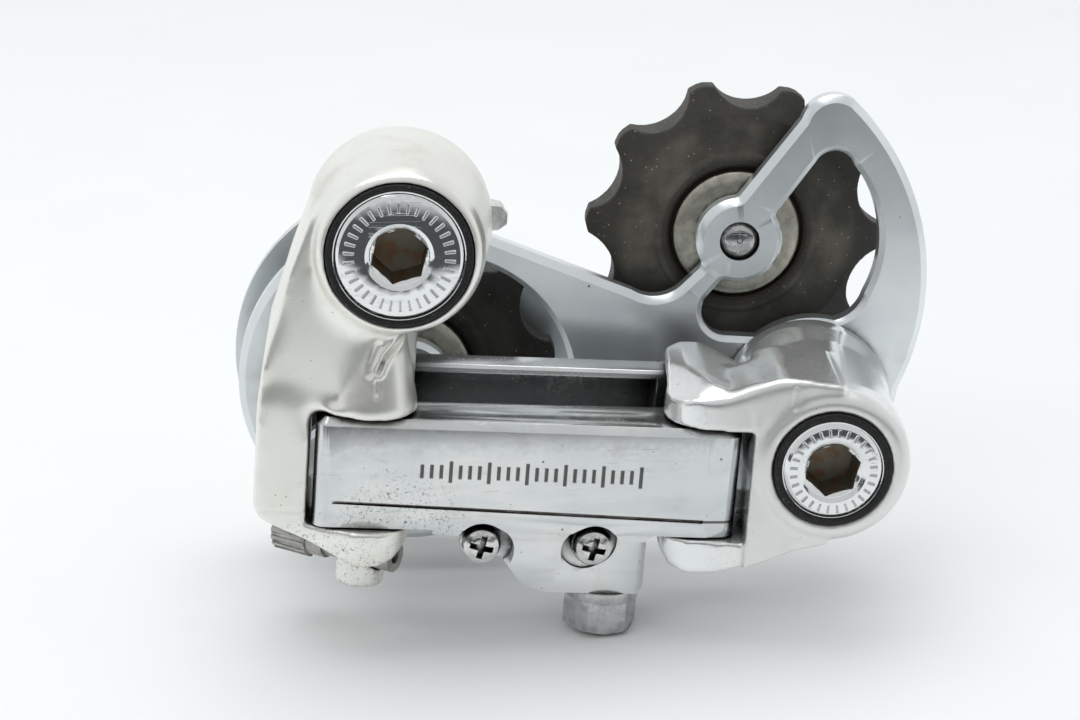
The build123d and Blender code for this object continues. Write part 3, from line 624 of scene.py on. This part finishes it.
cast_skin("hanger_knuckle", "hanger_body", cast, 8, hanger_blends, ear_creases)
cast_skin("cage_knuckle", "cage_body", cage_cast, 7, cage_blends, block_creases)
soften("guide_pulley", 0.20, 2)
soften("tension_pulley", 0.20, 2)
for name, width in (
    ("outer_link", 0.30),
    ("inner_link", 0.20),
    ("hanger_bolt", 0.12),
    ("cage_pivot_bolt", 0.12),
    ("hanger_bolt_seal", 0.25),
    ("cage_pivot_seal", 0.25),
    ("limit_screw_high", 0.12),
    ("limit_screw_low", 0.12),
    ("cable_anchor_bolt", 0.15),
    ("cable_clamp_washer", 0.12),
    ("cable_adjuster", 0.10),
    ("guide_dust_caps", 0.10),
    ("tension_dust_caps", 0.10),
    ("guide_pulley_bolt", 0.12),
    ("tension_pulley_bolt", 0.12),
    ("outer_cage_plate", 0.15),
    ("inner_cage_plate", 0.15),
    ("hanger_stop_plate", 0.12),
):
    edge_round(name, width, flat=name.endswith("_plate"))

# ---------------------------------------------------------------- floor, light and camera
floor_level = cad_low.z - 0.1 * MM


def floor():
    """A wide pale table top, just under the lowest point."""
    mesh = bpy.data.meshes.new("floor")
    form = bmesh.new()
    bmesh.ops.create_grid(form, x_segments=8, y_segments=8, size=1.6)
    form.to_mesh(mesh)
    form.free()
    ground = bpy.data.objects.new("floor", mesh)
    bpy.context.scene.collection.objects.link(ground)
    ground.location = (0.02, 0.35, floor_level)
    g = Graph("floor_paper")
    tint = g.step(g.noise(0.02, 3.0, 0.5), 0.3, 0.7)
    color = g.mix(tint, (0.86, 0.875, 0.88), (0.88, 0.89, 0.89))
    mesh.materials.append(g.finish(color, 0.0, 0.55, g.bump(g.noise(1.2), 0.05, 0.05)))


def softbox(name, place, target, size, power):
    """A rectangular lamp at place, turned to face target."""
    light = bpy.data.lights.new(name, "AREA")
    light.shape = "RECTANGLE"
    light.size, light.size_y = size
    light.energy = power
    lamp = bpy.data.objects.new(name, light)
    bpy.context.scene.collection.objects.link(lamp)
    lamp.location = place
    lamp.rotation_euler = (Vector(target) - Vector(place)).to_track_quat("-Z", "Y").to_euler()
    return lamp


def sky():
    """White studio: bright behind and overhead, dim towards the viewer."""
    world = bpy.data.worlds.new("studio")
    bpy.context.scene.world = world
    world.use_nodes = True
    tree = world.node_tree
    coords = tree.nodes.new("ShaderNodeTexCoord")
    split = tree.nodes.new("ShaderNodeSeparateXYZ")
    tree.links.new(coords.outputs["Generated"], split.inputs[0])
    shade = None
    for axis, start, end, near, far in (
        ("Y", -0.75, 0.20, (0.72, 0.73, 0.74, 1.0), (1.07, 1.09, 1.10, 1.0)),
        ("Z", 0.35, 0.85, None, (0.80, 0.82, 0.83, 1.0)),
    ):
        rise = tree.nodes.new("ShaderNodeMapRange")
        rise.interpolation_type = "SMOOTHSTEP"
        tree.links.new(split.outputs[axis], rise.inputs["Value"])
        rise.inputs["From Min"].default_value = start
        rise.inputs["From Max"].default_value = end
        blend = tree.nodes.new("ShaderNodeMix")
        blend.data_type = "RGBA"
        share, first, second = [s for s in blend.inputs if s.enabled]
        tree.links.new(rise.outputs[0], share)
        if shade:
            tree.links.new(shade, first)
        else:
            first.default_value = near
        second.default_value = far
        shade = [s for s in blend.outputs if s.enabled][0]
    background = tree.nodes["Background"]
    tree.links.new(shade, background.inputs["Color"])
    background.inputs["Strength"].default_value = 0.83


CARD_SIDE = 0.30           # half its width
CARD_FRONT = -0.135
CARD_HEIGHT = 0.085
CARD_PALE = (0.75, 0.76, 0.77)


def dark_card():
    """The unlit room in front of the table, which only the polished metal sees."""
    mesh = bpy.data.meshes.new("dark_card")
    low, high = floor_level, floor_level + CARD_HEIGHT
    corners = [(-CARD_SIDE, low), (CARD_SIDE, low), (CARD_SIDE, high), (-CARD_SIDE, high)]
    mesh.from_pydata([(x, CARD_FRONT, z) for x, z in corners], [], [(0, 1, 2, 3)])
    card = bpy.data.objects.new("dark_card", mesh)
    bpy.context.scene.collection.objects.link(card)
    g = Graph("card_paint")
    height = g.math("SUBTRACT", g.z, floor_level / MM)
    shade = g.mix(g.noise(0.01), (0.055, 0.058, 0.06), (0.085, 0.088, 0.09))
    shade = g.mix(g.step(height, 48.0, CARD_HEIGHT / MM), shade, CARD_PALE)
    shade = g.mix(g.step(height, 0.0, 14.0, 1.0, 0.0), shade, CARD_PALE)
    mesh.materials.append(g.finish(shade, 0.0, 0.8))
    card.visible_camera = False
    card.visible_diffuse = False
    card.visible_shadow = False


floor()
sky()
dark_card()
softbox("overhead", (-0.05, 0.15, 0.75), (0.03, 0.0, -0.02), (0.8, 0.6), 2.8)
softbox("fill", (-0.35, -0.55, 0.40), (0.0, -0.05, -0.04), (0.6, 0.4), 1.1).visible_glossy = False
bpy.context.scene.view_settings.view_transform = "Standard"

CAMERA_PLACE = (0.000928, -0.330377, 0.091553)
CAMERA_RIGHT = Vector((0.99879, -0.04923, 0.0))
CAMERA_UP = Vector((0.01568, 0.31812, 0.94792))
camera = bpy.data.objects.new("camera", bpy.data.cameras.new("camera"))
bpy.context.scene.collection.objects.link(camera)
camera.data.lens = 93.333
camera.data.sensor_width = 36.0
camera.data.clip_start = 0.02
camera.data.clip_end = 20.0
turned = Matrix((CAMERA_RIGHT, CAMERA_UP, CAMERA_RIGHT.cross(CAMERA_UP))).transposed().to_4x4()
camera.matrix_world = Matrix.Translation(CAMERA_PLACE) @ turned
bpy.context.scene.camera = camera
